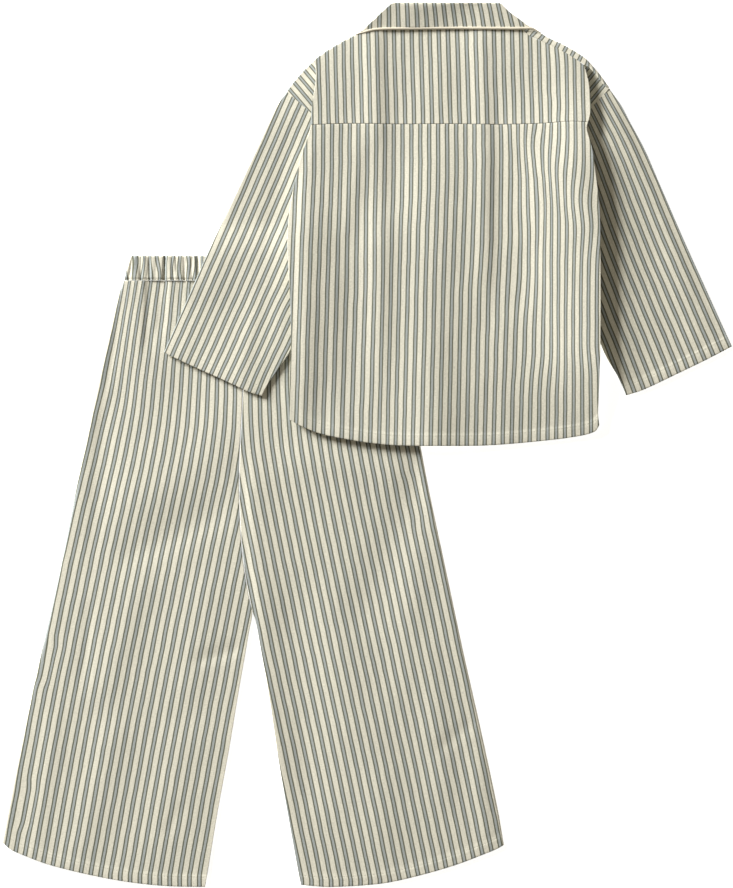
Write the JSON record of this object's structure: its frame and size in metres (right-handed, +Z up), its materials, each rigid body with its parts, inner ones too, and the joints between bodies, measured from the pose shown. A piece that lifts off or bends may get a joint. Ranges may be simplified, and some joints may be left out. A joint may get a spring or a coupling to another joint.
{
  "type": "pyjama set",
  "caption": "Pyjama set laid flat, back side up: a long-sleeved shirt with a folded, piped collar lies partly on wide-legged trousers with a gathered elastic waistband.",
  "frame": {"origin": "middle of the layout's outline, on the surface that it lies on", "axes": "+Z up out of that surface, +Y towards the collar, +X towards the shirt's right sleeve"},
  "size_m": [0.73, 0.8841, 0.0155],
  "materials": {
    "striped_cotton": "matte yarn-dyed cotton twill in cream and blue-grey stripes",
    "piping_cotton": "matte plain cotton over a cord",
    "button_shell": "smooth, slightly glossy"
  },
  "bodies": {
    "root": {"trousers_back_left": "striped_cotton", "trousers_back_right": "striped_cotton", "trousers_front_left": "striped_cotton", "trousers_front_right": "striped_cotton", "waistband_back": "striped_cotton", "waistband_front": "striped_cotton", "shirt_back": "striped_cotton", "yoke": "striped_cotton", "shirt_front_left": "striped_cotton", "shirt_front_right": "striped_cotton", "shirt_front_shoulder": "striped_cotton", "shoulder_left": "striped_cotton", "shoulder_right": "striped_cotton", "sleeve_left": "striped_cotton", "sleeve_right": "striped_cotton", "collar": "striped_cotton", "collar_front_left": "striped_cotton", "collar_front_right": "striped_cotton", "collar_piping": "piping_cotton", "button_1": "button_shell", "button_2": "button_shell", "button_3": "button_shell", "button_4": "button_shell", "button_5": "button_shell"}
  },
  "joints": []
}
